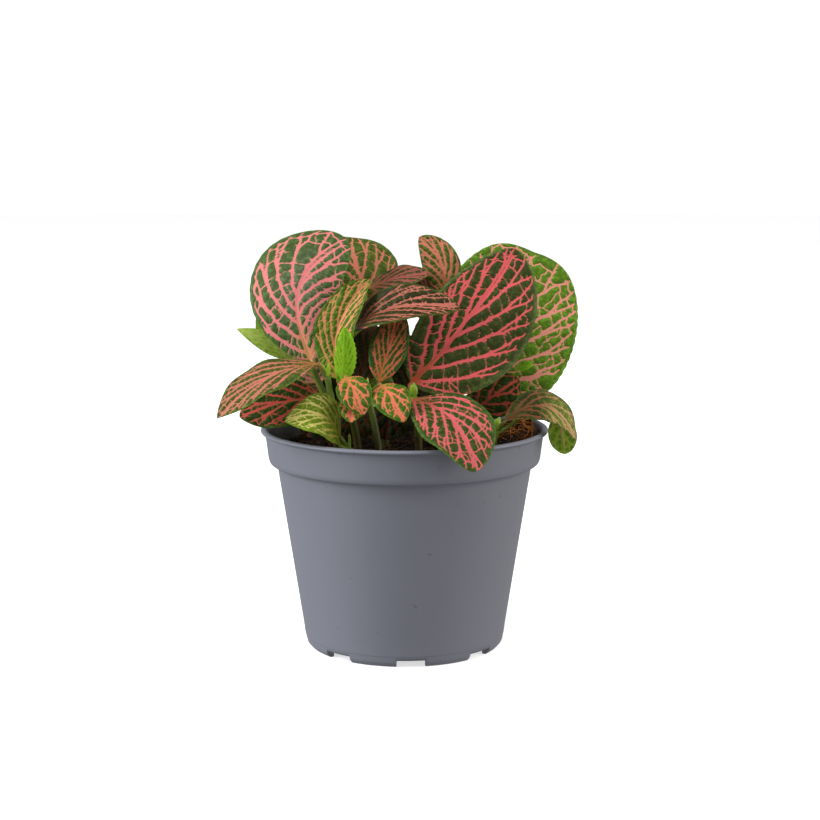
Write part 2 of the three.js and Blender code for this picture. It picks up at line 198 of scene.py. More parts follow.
# A socket in a sum: each operator adds one Math node
class Wire:
    def __init__(self, tree, socket):
        self.tree, self.socket = tree, socket

    def maths(self, operation, first, second):
        node = self.tree.nodes.new("ShaderNodeMath")
        node.operation = operation
        for place, value in enumerate((first, second)):
            if isinstance(value, Wire):
                self.tree.links.new(value.socket, node.inputs[place])
            else:
                node.inputs[place].default_value = value
        return Wire(self.tree, node.outputs[0])

    def __add__(self, other):
        return self.maths("ADD", self, other)

    def __sub__(self, other):
        return self.maths("SUBTRACT", self, other)

    def __rsub__(self, other):
        return self.maths("SUBTRACT", other, self)

    def __mul__(self, other):
        return self.maths("MULTIPLY", self, other)

    __radd__ = __add__
    __rmul__ = __mul__


# A material in the making
class Finish:
    def __init__(self, name):
        self.material = bpy.data.materials.new(name)
        self.material.use_nodes = True
        self.tree = self.material.node_tree
        self.tree.nodes.clear()

    # A node of a kind: its settings come first, then its sockets' values or links
    def add(self, kind, settings, sockets, output=0):
        node = self.tree.nodes.new("ShaderNode" + kind)
        for key, value in settings.items():
            setattr(node, key, value)
        for key, value in sockets.items():
            if isinstance(value, Wire):
                self.tree.links.new(value.socket, node.inputs[key])
            else:
                node.inputs[key].default_value = value
        return Wire(self.tree, node.outputs[output]) if node.outputs else None

    # A vector that the mesh holds, or with "Fac" a number
    def read(self, name, output="Vector"):
        return self.add("Attribute", {"attribute_name": name}, {}, output)

    def place(self):
        return self.add("TexCoord", {}, {}, "Object")

    def stretched(self, place, scale):
        return self.add("Mapping", {}, {"Vector": place, "Scale": scale})

    def noise(self, place, scale, detail=3, roughness=0.55):
        return self.add("TexNoise", {}, {"Vector": place, "Scale": scale, "Detail": detail,
                                         "Roughness": roughness}, "Fac")

    # 0 where the value is low and 1 where it is high, with soft ends
    def step(self, value, low, high):
        return self.add("MapRange", {"interpolation_type": "SMOOTHSTEP"},
                        {"Value": value, "From Min": low, "From Max": high})

    def blend(self, share, first, second):
        first, second = (tint if isinstance(tint, Wire) else (*tint, 1) for tint in (first, second))
        return self.add("Mix", {"data_type": "RGBA"}, {0: share, 6: first, 7: second}, 2)

    def scaled(self, vector, factor):
        return self.add("VectorMath", {"operation": "SCALE"}, {0: vector, "Scale": factor})

    # bump is a height and its depth in metres, and glow is white light of its own
    def surface(self, tint, roughness, shine, bump=None, glow=0):
        sockets = {"Base Color": tint, "Roughness": roughness, "Specular IOR Level": shine,
                   "Emission Color": (1, 1, 1, 1), "Emission Strength": glow}
        if bump:
            height, depth = bump
            sockets["Normal"] = self.add("Bump", {}, {"Height": height, "Distance": depth, "Strength": 1.0})
        self.add("OutputMaterial", {}, {"Surface": self.add("BsdfPrincipled", {}, sockets)})
        return self.material


# A leaf's plain shape: how far it bows up and sideways, its halves' angle and dome, its edge's waves, and
# its outline's peak, fullness and lean
plainLeaf = dict(arch=2, sway=0, fold=8, dome=0.12, wave=0.5, waves=2.5, peak=0.92, full=0.62, lean=0)

bladeSize = dict(
    thickness=0.42, edgeThickness=0.1, bulge=0.34, bulgeReach=0.9, midribDip=0.25, midribReach=0.9,
    plainEdge=1.2, plainEnds=(0.06, 0.05), clear=9.0, farFrom=(0.3, 0.75), halo=0.5, border=(0.045, 0.8),
    rim=0.35, heart=(0.24, 0.3), stalk=(7, 2.5), veinBase=(0.22, 3.0), under=colour(116, 146, 30),
)


# The half width on the side of hand's sign: width / 2 * sin(pi s^peak)^full * (1 + lean * sign)
def outline(leaf, s, hand):
    bow = np.clip(np.sin(math.pi * np.clip(s, 0, 1) ** leaf.peak), 0, 1)
    return leaf.width / 2 * bow ** leaf.full * (1 + leaf.lean * np.sign(hand))


# The midrib is a quadratic curve from base to tip, bowed by arch and sway. The half width runs out
# to both sides of it, the halves rise by the fold's sine and sink by the dome times their square, and
# the edge waves by a sine along s times t squared. Gives points, normals and places on the flat blade
def bladeSurface(leaf, s, t):
    along = unit(leaf.tip - leaf.base)
    up = unit(leaf.face - (leaf.face @ along) * along)
    across = np.cross(along, up)
    middle = (leaf.base + leaf.tip) / 2 + 2 * leaf.arch * up + 2 * leaf.sway * across
    s3 = s[..., None]
    tangent = unit((1 - s3) * (middle - leaf.base) + s3 * (leaf.tip - middle))
    side = unit(across - (tangent @ across)[..., None] * tangent)
    normal = np.cross(side, tangent)
    length = chords(quadratic(leaf.base, middle, leaf.tip, np.linspace(0, 1, 41)[:, None])).sum()
    depth, pitch = leaf.look.crimp
    crimp = 1 + depth * np.sin(2 * math.pi * s * length / pitch + leaf.tip[1]) * t ** 2
    out = t * outline(leaf, s, t) * crimp
    fold = math.radians(leaf.fold)
    wave = np.sin(2 * math.pi * leaf.waves * s + leaf.tip[0] + np.where(t < 0, 2, 0))
    rise = (np.abs(out) * math.sin(fold) - leaf.dome * out ** 2 / (leaf.width / 2)
            + leaf.wave * wave * t ** 2)
    points = (quadratic(leaf.base, middle, leaf.tip, s3) + side * (out * math.cos(fold))[..., None]
              + normal * rise[..., None])
    return points, normal, out + 1j * s * length, length


# A look: the colours of veins, of veins at the base, of tissue, of tissue beside veins and of the edge.
# A painted sheen greys the tissue along the midrib, in the colour given after the edge's, and farVein and
# farLamina lie towards the tip. cell and width scale the net's meshes and veins, link is the share of side
# veins that meet the next rib, and margin the share of the half width without veins. ribs counts the ribs,
# which start on the midrib's share run, and the lowest ends at low. crimp is how much the edge goes in and
# out, and over what length
plainLook = dict(cell=1.0, link=0.3, margin=0.1, run=0.52, low=0.34, ribs=None, crimp=(0.005, 3.6))


def look(vein, veinBase, lamina, pale, edge, heart=None, farVein=None, farLamina=None, **own):
    tints = dict(vein=vein, veinBase=veinBase, lamina=lamina, pale=pale, edge=edge, heart=heart,
                 farVein=farVein or vein, farLamina=farLamina)
    tints = {key: colour(*tint) if tint else None for key, tint in tints.items()}
    return SimpleNamespace(**{**plainLook, **tints, **own})


looks = {
    # rosy's greyish tissue along the midrib is a painted sheen
    "rosy": look((226, 128, 128), (216, 146, 98), (62, 80, 36), (92, 132, 58), (70, 98, 46),
        heart=(92, 100, 82), width=0.85, link=0.45, margin=0.055, low=0.2, ribs=6),
    "hotPink": look((220, 94, 96), (170, 76, 44), (48, 56, 20), (70, 92, 32), (84, 98, 52), width=0.88,
        margin=0.13, ribs=5),
    "hanging": look((208, 96, 98), (186, 90, 62), (46, 60, 20), (76, 106, 32), (66, 92, 36), cell=0.9,
        width=0.74, link=0.75, margin=0.13, ribs=5),
    "bright": look((232, 148, 130), (236, 166, 144), (78, 112, 24), (122, 164, 44), (88, 126, 34), cell=0.92,
        width=0.98, link=0.9, margin=0.05),
    "salmon": look((206, 122, 98), (190, 122, 68), (64, 80, 24), (98, 118, 38), (66, 94, 32), cell=0.85,
        width=0.7, run=0.5, low=0.4, ribs=4),
    "dusky": look((160, 84, 74), (140, 88, 52), (46, 54, 20), (88, 92, 40), (64, 82, 36), cell=0.8,
        width=0.62, margin=0.08, run=0.45, low=0.45, ribs=4),
    "long": look((196, 116, 100), (176, 118, 66), (64, 74, 26), (102, 112, 38), (54, 84, 30), cell=0.72,
        width=0.5, link=0.25, run=0.5, low=0.5, ribs=4),
    "orange": look((182, 94, 64), (170, 98, 46), (36, 54, 16), (74, 100, 26), (42, 72, 20), width=0.42,
        link=0.15, margin=0.2, ribs=5),
    "spotted": look((214, 112, 84), (196, 124, 66), (50, 78, 12), (98, 132, 30), (38, 74, 16), cell=1.1,
        width=0.64, link=0.7, margin=0.2),
    "deep": look((194, 82, 70), (150, 74, 48), (36, 54, 12), (62, 86, 22), (50, 78, 20), cell=0.95,
        width=0.62, link=0.6),
    # Painted shade: near-black tissue and dull brown veins for the leaves deep inside the foliage
    "shade": look((84, 40, 24), (72, 42, 20), (24, 32, 8), (42, 52, 14), (30, 44, 10), width=0.55),
    "brown": look((154, 86, 70), (136, 88, 50), (38, 40, 12), (76, 70, 26), (58, 74, 26),
        farVein=(196, 114, 98), cell=0.75, width=0.4, link=0.25, margin=0.09, run=0.45, low=0.5, ribs=4),
    "cream": look((204, 136, 92), (200, 140, 80), (60, 88, 18), (108, 138, 26), (48, 82, 18), cell=0.85,
        width=0.46, link=0.1, margin=0.14, ribs=5),
    "striped": look((122, 70, 44), (96, 56, 30), (36, 40, 10), (68, 76, 26), (56, 70, 24),
        farVein=(188, 146, 104), farLamina=(98, 118, 42), cell=0.8, width=0.36, link=0.1, margin=0.08,
        ribs=4),
    "olive": look((132, 124, 44), (116, 110, 34), (70, 86, 12), (96, 112, 22), (92, 112, 28),
        farVein=(196, 184, 104), farLamina=(96, 116, 26), cell=0.8, width=0.5, link=0.2),
    "lime": look((142, 192, 44), (150, 194, 60), (98, 154, 8), (126, 182, 24), (138, 188, 48), cell=0.8,
        width=0.38, link=0, margin=0.04, crimp=(0.05, 1.9)),
    "plainGreen": look((168, 188, 90), (184, 196, 104), (132, 164, 48), (148, 182, 64), (108, 148, 38),
        width=0.4, link=0),
}

veinSize = dict(
    step=0.5, cell=0.62, ribGap=1.8, gather=1.15, endGather=0.78, firstStart=0.012, lastEnd=0.985,
    lastRib=0.7, spread=0.3, stagger=0.42, knee=(0.58, 0.48), wiggle=0.06, fork=(0.5, 0.74), midribEnd=0.95,
    linkGap=1.35, linkReach=(0.45, 3.6), slant=(0.1, 0.95), bend=0.08, openShares=(0.75, 0.35),
    endFork=(0.3, 0.6), endTurn=(0.4, 0.8), spurGap=0.62, spur=(0.2, 0.46), spurTurn=(0.7, 1.2), soft=0.1,
    midribHalf=(1.0, 0.66, 0.34), ribHalf=(0.62, 0.44), armHalf=(0.44, 0.24), lowHalf=(0.26, 0.18),
    linkHalf=(0.17, 0.23), endHalf=(0.30, 0.16), spurHalf=(0.22, 0.09), bandReach=3.5, bandPoints=700,
)


# The veins of a flat blade, as short straight stretches with a half width at both ends. Places on it are
# complex numbers, across + along i. The midrib runs up the middle. Ribs leave it on both sides along
# quadratic curves to the edge's margin, and each parts into two arms. Links run from each line to the
# nearest point of the next, bent at a knot, and only some meet there. Where the gap is wide the knots are
# joined too. The arms' ends fork, and spurs end free
def layVeins(leaf, length):
    look, size, stretches = leaf.look, SimpleNamespace(**veinSize), []
    rng = np.random.default_rng(int(abs(leaf.tip[0]) * 7 + abs(leaf.base[2]) * 13 + leaf.width))
    cell = size.cell * look.cell * math.sqrt(leaf.width)
    share = look.width * min(1, leaf.width / 36) ** 0.45
    step = min(size.step, cell / 6)
    number = look.ribs or max(round(0.62 * length / (size.ribGap * cell)), 3)

    def edgeAt(y, hand):
        return outline(leaf, y / length, hand)

    def draw(points, half):
        stretches.append(np.stack([points[:-1], points[1:], half[:-1] * share, half[1:] * share]))

    def taper(points, first, last):
        draw(points, np.linspace(first, last, len(points)))

    # A straight line with its inner points pushed aside at random by bend times its length
    def bent(first, last, bend=size.bend):
        count = max(int(abs(last - first) / (0.5 * cell)) + 2, 3)
        push = join([[0], rng.normal(0, bend, count - 2), [0]])
        return first + (last - first) * (np.linspace(0, 1, count) + 1j * push)

    def turned(way, angle):
        return way / abs(way) * np.exp(1j * angle)

    # A rib's line. Past the fork, a share of its length, its end moves by spread towards side
    def ribLine(order, fork, side, push, hand):
        ends, lastOrder = (look.low, size.lastEnd), number - size.lastRib
        part = min(order / lastOrder, 1)
        y0 = length * (size.firstStart + look.run * part ** size.gather)
        begin = midrib[np.argmin(np.abs(midrib.imag - y0))]
        y1 = length * mixed(*ends, part ** size.endGather)
        count = max(int(1.1 * math.hypot(edgeAt(y1, hand), y1 - y0) / step), 6)
        u = np.linspace(0, 1, count + 1)
        place = order + side * size.spread * np.clip((u - fork) / (1 - fork), 0, 1) ** 0.8
        y1 = length * mixed(*ends, np.clip(place / lastOrder, 0, 1.02) ** size.endGather)
        x1 = hand * edgeAt(y1, hand) * (1 - look.margin)
        knee = size.knee[0] * x1 + 1j * mixed(y0, y1, size.knee[1])
        line = quadratic(begin, knee, x1 + 1j * y1, u)
        shift = np.interp(u, np.linspace(0, 1, len(push)), push) * size.wiggle * cell
        return line + shift * turned(np.gradient(line), math.pi / 2), max(int(fork * count), 1)

    y = np.arange(0, size.midribEnd * length, step)
    midrib = 0.10 * cell * np.sin(y / (1.5 * cell) + leaf.width) + 1j * y
    draw(midrib, np.interp(y / length, [0, 0.45, size.midribEnd], size.midribHalf))
    for hand in (-1, 1):
        low = ribLine(0, 0.9, 0, np.zeros(2), hand)[0]
        low = 0.97 * low.real + 0.52j * low.imag
        taper(low, *size.lowHalf)
        lines = [(low, 0)]  # Each line with the number of points that it shares with the one before
        for k in range(number):
            order = max(k + (0 if hand > 0 else size.stagger) + rng.uniform(-0.1, 0.1), 0)
            fork = rng.uniform(*size.fork)
            push = np.append(0, rng.normal(0, 1, max(int(length / cell / 1.3), 4)))
            for side in (-1, 1):
                loose = np.linspace(0, 1, len(push)) > fork
                line, node = ribLine(order, fork, side, push + loose * rng.normal(0, 1, len(push)), hand)
                lines.append((line, node if side > 0 else 0))
                if side < 0:
                    taper(line[:node + 1], *size.ribHalf)
                taper(line[node:], *size.armHalf)
        lines.append((midrib[midrib.imag > line[0].imag + 0.3 * cell], 0))
        for (lower, _), (upper, shared) in zip(lines[:-1], lines[1:]):
            knots = []
            begin = shared * step + cell * rng.uniform(0.5, 1.1)
            marks = np.arange(begin, (len(lower) - 1) * step, cell * size.linkGap)
            for mark in marks + rng.uniform(-0.22, 0.22, len(marks)) * cell:
                at = min(max(int(mark / step), 0), len(lower) - 1)
                first = lower[at]
                apart = upper - first - 1j * rng.uniform(*size.slant) * cell
                last = upper[np.hypot(apart.real, 1.4 * apart.imag).argmin()]
                gap = abs(last - first)
                if not size.linkReach[0] * cell < gap < size.linkReach[1] * cell:
                    knots.append(None)
                    continue
                outer = at / len(lower)
                wide = mixed(*size.linkHalf, outer)
                knot = mixed(first, last, rng.uniform(0.35, 0.65)) + complex(*rng.normal(0, 0.12 * gap, 2))
                whole, chance = rng.uniform() < look.link + 0.2 * outer, rng.uniform()
                end = wide if whole else 0.5 * wide
                if whole or chance < size.openShares[0]:
                    taper(bent(first, knot), wide * 1.2, end)
                if whole or chance > size.openShares[1]:
                    taper(bent(knot, last), end, wide * 1.2)
                knots.append((knot, gap, wide) if whole else None)
            for before, after in zip(knots[:-1], knots[1:]):
                if before and after and min(before[1], after[1]) > 1.2 * cell and rng.uniform() < 0.8:
                    taper(bent(before[0], after[0]), before[2], after[2])
        for line, _ in lines:
            for turn in (-1, 1):
                out = turned(line[-1] - line[-3], turn * rng.uniform(*size.endTurn)) * cell
                tip = line[-1] + out * rng.uniform(*size.endFork)
                if abs(tip.real) < edgeAt(tip.imag, hand) - 0.035 * leaf.width:
                    taper(bent(line[-1], tip, 0.05), *size.endHalf)
            for place in rng.uniform(0.12, 0.98, int(len(line) * step / (size.spurGap * cell))):
                i = int(place * (len(line) - 2))
                out = turned(line[i + 1] - line[i], rng.choice((-1, 1)) * rng.uniform(*size.spurTurn))
                taper(line[i] + np.array((0, 1)) * out * cell * rng.uniform(*size.spur), *size.spurHalf)
    return join(stretches, 1)


# How far each flat point lies from the nearest vein's side, negative inside: the distance to a stretch less
# its half width there. It is a soft least, -soft * log(sum(exp(-d / soft))), so corners between veins fill
# up. Points go in bands up the blade, each with the stretches beside it
def veinDistance(flat, veins):
    clear, soft, beside = bladeSize["clear"], veinSize["soft"], veinSize["bandReach"]
    low, high = veins[:2].imag.min(0) - beside, veins[:2].imag.max(0) + beside
    result = np.full(len(flat), clear)
    for band in np.array_split(np.argsort(flat.imag), max(len(flat) // veinSize["bandPoints"], 1)):
        spot = flat[band]
        near = (low < spot.imag.max()) & (high > spot.imag.min())
        if near.any():
            first, last, half0, half1 = veins[:, near]
            apart, reach = spot[:, None] - first, last - first
            u = np.clip((apart * reach.conj()).real / np.maximum(np.abs(reach) ** 2, 1e-9), 0, 1)
            away = np.abs(apart - u * reach) - mixed(half0.real, half1.real, u)
            least = away.min(1)
            least = least - soft * np.log(np.exp((least[:, None] - away) / soft).sum(1))
            result[band] = np.minimum(least, clear)
    return result


# A blade: two grids either side of its middle surface, thinner towards the edge. Between the veins the
# tissue stands up by bulge * (1 - exp(-(distance / reach)^2)), and its colour takes on others by shares
def putBlade(heap, leaf, number):
    look, size = leaf.look, SimpleNamespace(**bladeSize)
    length = bladeSurface(leaf, np.zeros(1), np.zeros(1))[3]
    rows = int(1.2 * length / leaf.fine) + 12
    columns = int(leaf.width * (1 + leaf.lean) / leaf.fine) // 2 * 2 + 9
    u = np.linspace(0, 1, rows)
    s = 0.001 + 0.998 * (u - 0.6 * np.sin(2 * math.pi * u) / (2 * math.pi))  # Closer rows at both ends
    s, t = np.meshgrid(s, np.linspace(-1, 1, columns), indexing="ij")
    points, normal, flat, length = bladeSurface(leaf, s, t)
    near = veinDistance(flat.ravel(), layVeins(leaf, length)).reshape(s.shape)
    aside, off = np.abs(flat.real), np.maximum(near, 0)
    edgeGap = outline(leaf, s, t) - aside
    inner = (smoothStep(edgeGap, 0, size.plainEdge) * smoothStep(s, 0, size.plainEnds[0])
             * smoothStep(1 - s, 0, size.plainEnds[1]))
    scale = min(1, leaf.width / 30) ** 0.5
    bulge = size.bulge * scale * (1 - bell(off, size.bulgeReach))
    dip = size.midribDip * scale * bell(aside, size.midribReach) * (1 - 0.6 * s)
    relief = inner * (bulge - dip)
    half = size.edgeThickness / 2 + size.thickness / 2 * np.sqrt(smoothStep(edgeGap, -0.1, 0.9))
    shell = [points + normal * (relief + way * half)[..., None] for way in (1, -1)]
    far = smoothStep(s, *size.farFrom)
    border = 1 - smoothStep(edgeGap, 0.2, size.border[0] * leaf.width + size.border[1])
    # Painted sheen: a greyish highlight along the middle of the midrib, mixed into the tissue's colour
    heart = bell(aside, size.heart[0] * leaf.width) * bell(s - 0.5, size.heart[1])
    stalk = np.exp(-s * length / size.stalk[0]) * np.exp(-aside / size.stalk[1])
    lamina, pale = look.lamina, look.pale
    halo, rim = np.exp(-off / size.halo), bell(edgeGap, size.rim)
    for tint, share in ((look.heart, 0.8 * heart), (look.farLamina, far), (pale, 0.25 * halo),
                        (look.edge, 0.8 * border), (1.3 * pale, 0.45 * rim), (pale, stalk)):
        if tint is not None:
            lamina = mixed(lamina, tint, share[..., None])
    base = bell(s, size.veinBase[0]) * bell(aside, size.veinBase[1])
    vein = mixed(mixed(look.vein, look.farVein, far[..., None]), look.veinBase, base[..., None])
    under = mixed(size.under, pale, 0.35)
    underVein = mixed(1.6 * under, look.vein, 0.12)
    lamina, vein = lamina.reshape(-1, 3), vein.reshape(-1, 3)
    flat = np.stack([flat.real, flat.imag, np.full(s.shape, 7.3 * number)], -1).reshape(-1, 3)
    heap.put(join(shell), shellFaces(rows, columns), flat=join([flat, flat + (0, 0, 3)]),
             vein=np.tile(near.ravel(), 2), lamina=join([lamina, mixed(lamina, under, 0.75)]),
             veinTint=join([vein, np.broadcast_to(underVein, vein.shape)]))


# A leaf: its petiole leaves at a share of the stem, start. base and tip are the midrib's ends, face is
# where the blade looks, and fine is its mesh's step. What follows differs from the plain leaf
def blade(start, base, tip, width, face, look, fine, **shape):
    base, tip, face = (np.array(place, float) for place in (base, tip, face))
    return SimpleNamespace(**{**plainLeaf, **shape}, start=start, base=base, tip=tip, width=width, face=face,
                           look=looks[look], fine=fine)


# A stem leaves the soil at root and ends at top
def stem(root, top, **leaves):
    return SimpleNamespace(root=root, top=np.array(top, float), leaves=leaves.values())


leafyStems = {
    "leafy_stem_left": stem((-27, -5), (-39, -5, 119),
        big=blade(0.97, (-37.7, -14, 121.8), (-23.1, 4, 168.4), 36.8, (0, -1, 0.3), "rosy", 0.5, arch=5,
            sway=-13, fold=3, dome=0.3, peak=1.27, full=0.48, lean=-0.17),
        narrow=blade(0.9, (-44, 4, 118.5), (-70, 4, 132.5), 11, (-0.2, -0.6, 0.8), "plainGreen", 0.71,
            full=0.9, wave=0),
        back=blade(0.7, (-36, 1, 110), (-49, 24, 121), 22, (-0.2, 0.1, 1), "rosy", 0.89, arch=3),
        low=blade(0.6, (-38, -3, 105), (-61, -6, 98), 20, (-0.2, 0.1, 1), "deep", 0.71, arch=4),
        drooping=blade(0.5, (-33, 1, 104), (-41, -1, 88), 19, (-0.1, -1, 0.2), "shade", 0.77, wave=0.3),
        inner=blade(0.65, (-29, 6, 101), (-25, 6, 121), 14, (0, -1, 0.1), "shade", 0.77, wave=0.3)),
    "leafy_stem_left_front": stem((-27, -25), (-31, -23, 116),
        upper=blade(0.98, (-36, -24, 121), (-73, -48, 103), 20, (-0.1, -0.5, 0.85), "long", 0.5, arch=6,
            fold=10, wave=0.6),
        lower=blade(0.8, (-34, -27, 109), (-66, -30, 101), 22, (-0.1, -0.8, 0.6), "deep", 0.5, arch=2,
            fold=6)),
    "leafy_stem_pale": stem((-21, -36), (-22, -35.5, 89),
        only=blade(0.98, (-26, -34.5, 91), (-47, -41, 101), 24, (0.1, -0.6, 0.8), "olive", 0.54, arch=10,
            fold=12, wave=0.4)),
    "leafy_stem_young": stem((-19, -17), (-25, -24, 113),
        unopened=blade(0.98, (-25, -28, 113.8), (-24, -28, 136.6), 11, (0.5, -1, 0.1), "lime", 0.43, arch=0.5,
            fold=28, wave=0),
        tall=blade(0.93, (-27, -19.5, 115), (-13.6, -12, 154), 20, (-0.5, -1, 0.2), "cream", 0.48, sway=-6,
            fold=26),
        inner=blade(0.8, (-18, -12, 112), (-12, -3, 135), 16, (0, -1, 0.3), "shade", 0.59),
        drooping=blade(0.72, (-18, -11, 101), (-21, -11, 87.5), 13, (0.1, -1, 0.2), "shade", 0.71, wave=0.3)),
    "leafy_stem_middle": stem((-8, 2), (-15, 6, 138),
        upper=blade(0.99, (-16, 14, 142), (-28, 26, 169.7), 33, (0.2, -1, 0.35), "salmon", 0.54, sway=2,
            peak=0.81, full=1, lean=0.04),
        arching=blade(0.98, (-14, 12, 149), (10, 3, 155), 16, (0.2, -0.6, 0.8), "dusky", 0.5, arch=2,
            wave=0.3),
        front=blade(0.95, (-20.5, -9, 134), (22, -25, 143.5), 21, (-0.1, -0.7, 0.7), "brown", 0.5, arch=8,
            fold=22, wave=0.3),
        back=blade(0.7, (-10, 12, 118), (-1, 42, 122), 24, (0.2, 0.1, 1), "rosy", 0.83, arch=4),
        low=blade(0.4, (0, 0, 107), (18, -10, 103), 20, (0.1, -0.1, 1), "shade", 0.71, arch=3),
        drooping=blade(0.3, (-5, -4, 102), (-8, -6, 87.5), 19, (0, -1, 0.2), "shade", 0.71, wave=0.3)),
    "leafy_stem_front": stem((-10, -33), (-15, -31, 111),
        upright=blade(0.9, (-10, -24, 114), (-1.6, -12, 142), 16, (-0.2, -1, 0.3), "orange", 0.45, arch=1,
            wave=0.3),
        left=blade(0.98, (-23, -33, 117), (-16, -46, 104), 14, (0, -0.8, 0.6), "spotted", 0.43, arch=3,
            wave=0.3),
        low=blade(0.85, (-20, -34, 109), (-21, -46, 101), 12, (0, -0.8, 0.6), "spotted", 0.45, arch=2,
            wave=0.3),
        right=blade(0.97, (-9, -35, 114), (0, -51, 102), 15, (0, -0.8, 0.6), "spotted", 0.43, arch=3,
            wave=0.3)),
    "leafy_stem_right_front": stem((6, -22), (4, -24, 108),
        big=blade(0.98, (3, -20, 113), (46.5, 0, 165.5), 43, (0, -1, 0.25), "hotPink", 0.52, arch=2, sway=2,
            fold=5, dome=0.06, peak=0.9, full=0.56, lean=0.22),
        hanging=blade(0.97, (3, -32, 108), (27, -65, 85), 31, (0.1, -0.6, 0.8), "hanging", 0.5, arch=6,
            sway=-4, peak=1.05),
        drooping=blade(0.5, (9, -12, 101), (14, -14, 88), 16, (0.1, -1, 0.2), "shade", 0.71, wave=0.3)),
    "leafy_stem_right_back": stem((22, 2), (27, 6, 104),
        big=blade(0.98, (29.1, 13, 106), (54.8, 28, 163), 62.2, (0, -1, 0.2), "bright", 0.62, arch=2,
            sway=0.3, fold=8, dome=0.15, peak=0.78, full=0.31, lean=0.04),
        low=blade(0.9, (28.5, -4, 100), (47.5, -3, 112), 19.5, (0.3, -1, 0.4), "deep", 0.71, wave=0.3),
        tiny=blade(0.97, (46, -4, 117), (53, -7, 119), 5, (0, -0.8, 0.6), "lime", 0.71, arch=0.5, wave=0),
        back=blade(0.95, (28, 17, 106), (25, 42, 116), 24, (0, 0.2, 1), "rosy", 0.95, arch=4)),
    "leafy_stem_top": stem((10, 10), (14, 9, 140),
        upper=blade(0.99, (17, 8, 146), (6, 12, 170), 16, (-0.2, -1, 0.25), "salmon", 0.48, arch=1, sway=4,
            wave=0.3),
        back=blade(0.93, (5, 17, 138.5), (-3, 38, 144), 20, (0, -0.2, 1), "rosy", 0.77, arch=3),
        side=blade(0.97, (13, 14, 143), (-1, 17, 156), 13, (-0.2, -1, 0.3), "dusky", 0.59, wave=0.3),
        inner=blade(0.4, (4.5, 8.5, 100), (1.5, 9.5, 129.5), 17, (0, -1, 0.1), "shade", 0.71, wave=0.3),
        low=blade(0.4, (12, 19, 107), (16, 42, 101), 22, (0.1, 0.2, 1), "deep", 0.77, arch=4)),
    "leafy_stem_right_low": stem((36, -22), (37, -23, 94),
        arching=blade(0.98, (41, -24, 98.2), (69.5, -21, 89.6), 14.8, (0.2, -0.75, 0.6), "striped", 0.5,
            arch=3.8, sway=-9.8, peak=0.93),
        hanging=blade(0.9, (63.2, -14, 100), (66.2, -15, 83), 12, (0.2, 1, 0.1), "bright", 0.5, arch=0,
            peak=1.1, full=0.5, wave=0.2)),
    "leafy_stem_back_left": stem((-30, 22), (-37, 28, 112),
        upper=blade(0.98, (-39, 33, 117), (-55, 50, 148), 38, (-0.5, 1, 0.35), "bright", 0.89),
        outer=blade(0.85, (-44, 26, 107), (-66, 36, 98), 22, (-0.3, 0.3, 0.9), "rosy", 0.89, arch=5),
        inner=blade(0.95, (-30, 32, 120), (-22, 40, 150), 30, (0.1, 1, 0.3), "hotPink", 0.89),
        low=blade(0.5, (-34, 34, 101), (-41, 57, 94), 24, (-0.1, 0.5, 0.9), "deep", 0.89, arch=5)),
    "leafy_stem_back": stem((-4, 38), (-4, 42, 108),
        hanging=blade(0.95, (-5, 48, 106), (-8, 66, 87), 28, (0, 0.6, 0.8), "hanging", 0.89, arch=6),
        right=blade(0.98, (12, 46, 112), (25, 58, 133), 25, (0.2, 1, 0.4), "rosy", 0.89),
        left=blade(0.9, (-11, 46, 112), (-26, 57, 126), 22, (-0.2, 1, 0.6), "bright", 0.89),
        low=blade(0.6, (5, 45, 101), (25, 61, 95), 22, (0.2, 0.4, 0.9), "rosy", 0.89, arch=5)),
    "leafy_stem_back_right": stem((30, 28), (36, 32, 110),
        upper=blade(0.98, (38, 39, 115), (48, 57, 150), 40, (0.4, 1, 0.3), "hotPink", 0.89),
        outer=blade(0.85, (43, 32, 106), (58, 46, 97), 22, (0.3, 0.3, 0.9), "salmon", 0.89, arch=5),
        low=blade(0.7, (42, 26, 103), (64, 21, 98), 18, (0.3, 0, 0.9), "rosy", 0.89, arch=4)),
}

stemSize = dict(
    foot=1.9, crown=1.3, depth=7, upright=2, sides=14, petiole=1.1, petioleSides=10, swing=0.18,
    ridge=(0.85, 0.62, 0.14), sunk=(0.6, 0.12), hairsPerMm=2.4, hairLength=0.8, hairWidth=0.05,
    budLength=5.5, budWidth=3.2, budSpread=0.32,
    green=colour(98, 118, 30), shaded=colour(66, 62, 22), hair=colour(128, 124, 76),
)

soilSize = dict(
    floor=5.5, height=83, mound=11, moundAt=(48, 6), moundReach=21, bump=0.9, rough=0.55, edge=55.6, gap=0.3,
    rows=96, sides=230, crumbs=1500, crumbSize=(0.35, 1.5), fibres=320, fibreRing=52, fibreEdge=53.5,
    dryReach=13, fibreLength=(3, 11), fibreRadius=(0.09, 0.22),
    dark=colour(12, 10, 7), brown=colour(118, 66, 26), straw=colour(190, 124, 62), shadeFade=(0.005, 0.035),
)


# height + mound * exp(-(distance to the mound / reach)^2) + bump * sin(x / 6 + 1) * cos(y / 5)
def soilTop(x, y):
    away = np.hypot(x - soilSize["moundAt"][0], y - soilSize["moundAt"][1])
    return (soilSize["height"] + soilSize["mound"] * bell(away, soilSize["moundReach"])
            + soilSize["bump"] * np.sin(x / 6 + 1) * np.cos(y / 5))


# A stem's path starts below the soil, rises straight up at first and leans over to its top
def stemPath(stem):
    x, y = stem.root
    low, high = soilTop(x, y) - stemSize["depth"], soilTop(x, y) + stemSize["upright"]
    middle = (stem.top + (x, y, high)) / 2 + ((x - stem.top[0]) / 8, (y - stem.top[1]) / 8, 0)
    return smoothPath([(x, y, low), (x, y, high), middle, stem.top], 44)


